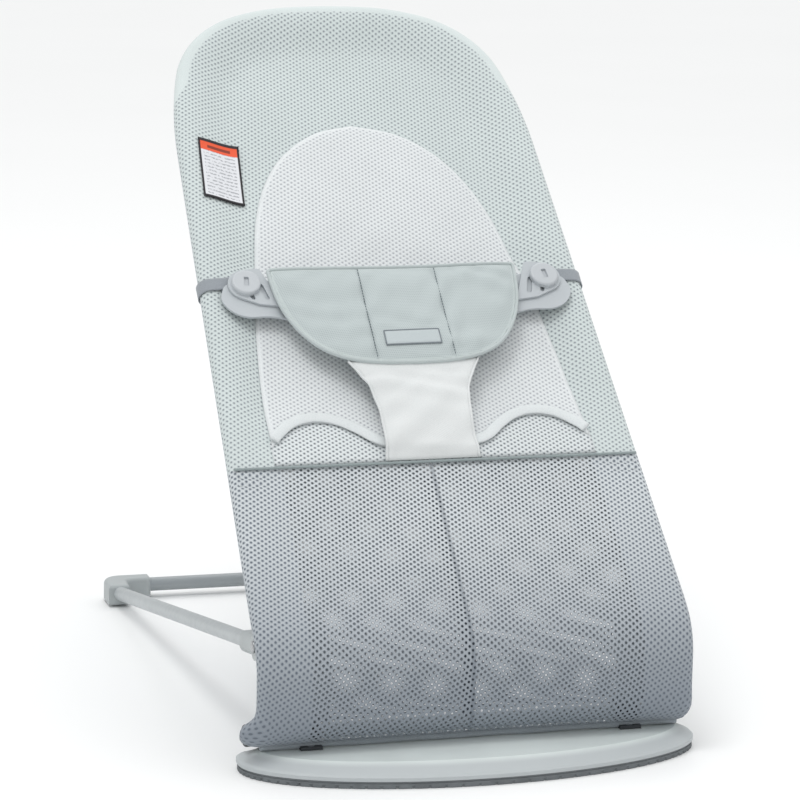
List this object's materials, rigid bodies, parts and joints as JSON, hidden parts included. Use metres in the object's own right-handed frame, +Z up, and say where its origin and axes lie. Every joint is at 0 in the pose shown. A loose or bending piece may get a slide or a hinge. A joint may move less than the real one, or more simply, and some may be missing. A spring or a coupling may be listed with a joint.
{
  "type": "baby bouncer seat",
  "caption": "Folding baby bouncer: front plate, spring frame with mesh seat, rear leg frame and a soft harness with side buttons.",
  "frame": {"origin": "on the floor under the middle of the bounding box", "axes": "+Z up, -Y is the foot end with the front plate, +Y the head end, +X the side of the baby's left hand"},
  "size_m": [0.388, 0.634, 0.5672],
  "materials": {
    "plate_plastic": "satin moulded",
    "underside_plastic": "moulded",
    "sole_rubber": "matte serrated",
    "screw_steel": "zinc plated",
    "frame_metal": "satin powder coat",
    "core_steel": "spring steel",
    "dark_plastic": "moulded",
    "foot_plastic": "moulded",
    "pocket_fabric": "open mesh",
    "mesh_fabric": "open mesh",
    "insert_fabric": "fine mesh pad",
    "belt_fabric": "mesh with bound edge",
    "patch_fabric": "woven",
    "strap_fabric": "jersey",
    "elastic_fabric": "woven elastic",
    "label_fabric": "woven satin",
    "wing_plastic": "flexible moulded",
    "button_plastic": "moulded"
  },
  "bodies": {
    "front_plate": {"plate_shell": "plate_plastic", "plate_underside": "underside_plastic", "plate_sole": "sole_rubber", "hinge_clamp_left": "dark_plastic", "hinge_clamp_right": "dark_plastic", "clamp_screws": "screw_steel"},
    "lower_frame": {"foot_crossbar": "frame_metal", "end_knuckle_left": "dark_plastic", "end_knuckle_right": "dark_plastic", "foot_spring_left": "frame_metal", "foot_spring_right": "frame_metal", "flex_core_left": "core_steel", "flex_core_right": "core_steel", "side_bracket_left": "foot_plastic", "side_bracket_right": "foot_plastic", "bracket_screws": "screw_steel", "position_pawls": "core_steel", "foot_cover_front": "pocket_fabric", "foot_cover_back": "pocket_fabric", "foot_hem": "pocket_fabric"},
    "leg_frame": {"leg_hub_left": "foot_plastic", "leg_hub_right": "foot_plastic", "pivot_pin_left": "screw_steel", "pivot_pin_right": "screw_steel", "leg_tube_left": "frame_metal", "leg_tube_right": "frame_metal", "rear_crossbar": "frame_metal", "corner_foot_left": "foot_plastic", "corner_foot_right": "foot_plastic", "foot_pad_left": "sole_rubber", "foot_pad_right": "sole_rubber"},
    "seat": {"seat_side_tube_left": "frame_metal", "seat_side_tube_right": "frame_metal", "head_arch_tube": "frame_metal", "arch_sleeve_left": "core_steel", "arch_sleeve_right": "core_steel", "seat_cover_front": "mesh_fabric", "seat_cover_back": "mesh_fabric", "pocket_panel": "pocket_fabric", "seat_insert": "insert_fabric", "strap_socket_left": "wing_plastic", "strap_socket_right": "wing_plastic", "elastic_strap_left": "elastic_fabric", "elastic_strap_right": "elastic_fabric", "care_label": "label_fabric"},
    "harness": {"belt_panel": "belt_fabric", "belt_patch": "patch_fabric", "crotch_strap": "strap_fabric", "belt_wing_left": "wing_plastic", "belt_wing_right": "wing_plastic", "belt_wing_backing_left": "wing_plastic", "belt_wing_backing_right": "wing_plastic", "belt_button_left": "button_plastic", "belt_button_right": "button_plastic"}
  },
  "joints": [
    {"name": "recline", "type": "hinge", "parent": "front_plate", "child": "lower_frame", "pos_m": [0, -0.234, 0.028], "axis": [1, 0, 0], "range_deg": [-41.9, 0]},
    {"name": "leg_fold", "type": "hinge", "parent": "lower_frame", "child": "leg_frame", "pos_m": [0, -0.224, 0.098], "axis": [1, 0, 0], "range_deg": [0, 44.5]},
    {"name": "bounce", "type": "hinge", "parent": "lower_frame", "child": "seat", "pos_m": [0, -0.24013, 0.12073], "axis": [1, 0, 0], "range_deg": [-5, 3], "stiffness_Nm_per_rad": 120, "springref_deg": 1.03},
    {"name": "harness_open", "type": "hinge", "parent": "seat", "child": "harness", "pos_m": [0, -0.1391, 0.22885], "axis": [1, 0, 0], "range_deg": [0, 110]}
  ],
  "couplings": [
    {"joint": "leg_fold", "follows": "recline", "ratio": -1.062}
  ]
}
